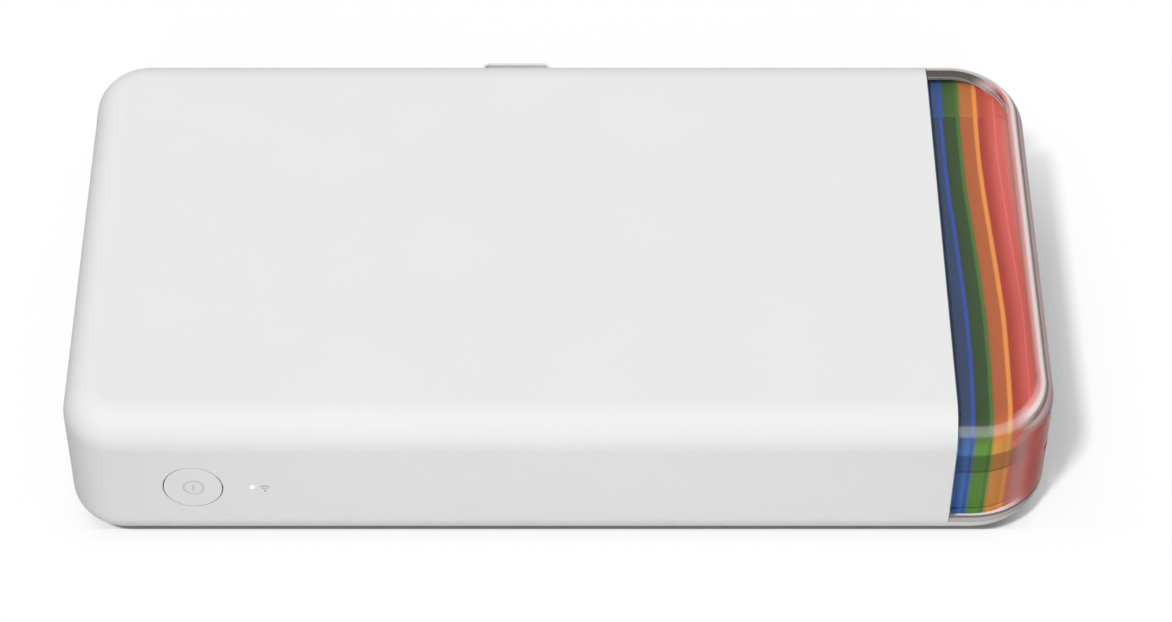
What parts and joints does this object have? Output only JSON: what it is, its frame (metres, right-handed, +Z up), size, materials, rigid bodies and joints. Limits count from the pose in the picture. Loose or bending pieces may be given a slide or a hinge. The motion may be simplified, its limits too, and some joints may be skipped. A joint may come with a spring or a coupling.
{
  "type": "compact photo printer",
  "caption": "Flat soft-edged pocket photo printer with a clear tinted end cap, a side cartridge door on a hinge, a power button and a ribbon print mechanism.",
  "frame": {"origin": "on the table, under the middle of the whole plan, pull tab included", "axes": "+X from the button end towards the clear end cap, +Y from the front face to the cartridge door, +Z up"},
  "size_m": [0.15, 0.0826, 0.027],
  "materials": {
    "white_shell": "fine satin moulded white",
    "inner_white": "satin white",
    "smoked_clear": "clear polished plastic with a faint smoke tint",
    "tinted_film": "translucent tint that runs from blue over green and amber to red",
    "bronze_strip": "spring bronze",
    "steel_shaft": "ground steel",
    "steel_sheet": "zinc plated sheet",
    "motor_steel": "drawn steel can",
    "socket_steel": "drawn steel",
    "black_plastic": "fine grained black",
    "chip_black": "matt resin",
    "board_green": "solder resist",
    "light_pipe": "frosted light pipe",
    "battery_wrap": "shrink film",
    "foot_rubber": "soft matt rubber",
    "chassis_grey": "glass-filled moulding",
    "brass_post": "turned brass",
    "acetal": "natural acetal",
    "roller_rubber": "ground rubber",
    "ceramic": "glazed ceramic",
    "head_aluminium": "extruded",
    "flex_film": "amber polyimide",
    "spool_white": "moulded",
    "ribbon_film": "coated dye ribbon",
    "photo_paper": "coated photo paper"
  },
  "bodies": {
    "root": {"top_cover": "white_shell", "bottom_cover": "white_shell", "end_cap": "smoked_clear", "tint_liner": "tinted_film", "exit_guide": "inner_white", "door_catch": "bronze_strip", "power_switch": "steel_sheet", "button_board": "board_green", "status_lens": "light_pipe", "main_board": "board_green", "board_chips": "chip_black", "usb_socket": "socket_steel", "battery_pack": "battery_wrap", "rubber_feet": "foot_rubber", "case_screws": "steel_shaft", "chassis": "chassis_grey", "side_plate": "steel_sheet", "rear_plate": "steel_sheet", "motor_plate": "steel_sheet", "spacer_posts": "brass_post", "gear_studs": "steel_shaft", "roller_bushes": "acetal", "motor_can": "motor_steel", "cartridge_case": "black_plastic", "head_flex": "flex_film", "ribbon_web": "ribbon_film", "paper_stack": "photo_paper"},
    "door": {"cartridge_door": "white_shell", "door_spring": "bronze_strip", "hinge_pins": "steel_shaft"},
    "button": {"power_button": "white_shell", "switch_plunger": "black_plastic"},
    "head": {"print_head": "ceramic", "heat_sink": "head_aluminium", "head_bracket": "steel_sheet", "head_pivot": "steel_shaft", "head_spring": "steel_shaft"},
    "capstan": {"capstan_roller": "steel_shaft", "capstan_gear": "acetal"},
    "pinch": {"pinch_roller": "steel_shaft"},
    "platen": {"platen_shaft": "steel_shaft", "platen_rubber": "roller_rubber"},
    "rotor": {"motor_pinion": "brass_post"},
    "reduction": {"reduction_gear": "acetal"},
    "feed": {"feed_gear": "acetal"},
    "pickup": {"pickup_gear": "acetal", "pickup_shaft": "steel_shaft", "pickup_tyres": "roller_rubber"},
    "take_up": {"take_up_gear": "acetal", "take_up_core": "spool_white", "take_up_roll": "ribbon_film"},
    "supply": {"supply_core": "spool_white", "supply_roll": "ribbon_film"}
  },
  "joints": [
    {"name": "door_hinge", "type": "hinge", "parent": "root", "child": "door", "pos_m": [-0.00775, 0.0367, 0.007], "axis": [-1, 0, 0], "range_deg": [0, 90]},
    {"name": "power_button_press", "type": "slide", "parent": "root", "child": "button", "axis": [0, 1, 0], "range_m": [0, 0.0006], "stiffness_N_per_m": 1200, "springref_m": -0.0005},
    {"name": "head_swing", "type": "hinge", "parent": "root", "child": "head", "pos_m": [0.053, 0.0037, 0.0206], "axis": [0, -1, 0], "range_deg": [0, 3.3], "stiffness_Nm_per_rad": 0.4, "springref_deg": -2.86},
    {"name": "capstan_spin", "type": "hinge", "parent": "root", "child": "capstan", "pos_m": [0.05, 0.0037, 0.0095], "axis": [0, 1, 0], "continuous": true},
    {"name": "take_up_spin", "type": "hinge", "parent": "root", "child": "take_up", "pos_m": [0.04192, 0.0037, 0.0162], "axis": [0, 1, 0], "continuous": true},
    {"name": "reduction_spin", "type": "hinge", "parent": "root", "child": "reduction", "pos_m": [0.03537, 0.0037, 0.0116], "axis": [0, 1, 0], "continuous": true},
    {"name": "motor_spin", "type": "hinge", "parent": "root", "child": "rotor", "pos_m": [0.02405, 0.0037, 0.0136], "axis": [0, 1, 0], "continuous": true},
    {"name": "feed_spin", "type": "hinge", "parent": "root", "child": "feed", "pos_m": [0.01304, 0.0037, 0.0136], "axis": [0, 1, 0], "continuous": true},
    {"name": "pickup_spin", "type": "hinge", "parent": "root", "child": "pickup", "pos_m": [0.00125, 0.0037, 0.0114], "axis": [0, 1, 0], "continuous": true},
    {"name": "platen_spin", "type": "hinge", "parent": "root", "child": "platen", "pos_m": [0.0304, 0.0037, 0.0062], "axis": [0, 1, 0], "continuous": true},
    {"name": "pinch_spin", "type": "hinge", "parent": "root", "child": "pinch", "pos_m": [0.05, 0.0037, 0.01465], "axis": [0, 1, 0], "continuous": true},
    {"name": "supply_spin", "type": "hinge", "parent": "root", "child": "supply", "pos_m": [0.017, 0.0037, 0.0162], "axis": [0, 1, 0], "continuous": true}
  ],
  "couplings": [
    {"joint": "take_up_spin", "follows": "capstan_spin", "ratio": -1.3333},
    {"joint": "reduction_spin", "follows": "capstan_spin", "ratio": 1.7143},
    {"joint": "motor_spin", "follows": "capstan_spin", "ratio": -3.9184},
    {"joint": "feed_spin", "follows": "capstan_spin", "ratio": 1.8286},
    {"joint": "pickup_spin", "follows": "capstan_spin", "ratio": -0.75294},
    {"joint": "platen_spin", "follows": "capstan_spin", "ratio": 0.93103},
    {"joint": "pinch_spin", "follows": "capstan_spin", "ratio": -1.2273},
    {"joint": "supply_spin", "follows": "capstan_spin", "ratio": -0.65854}
  ]
}
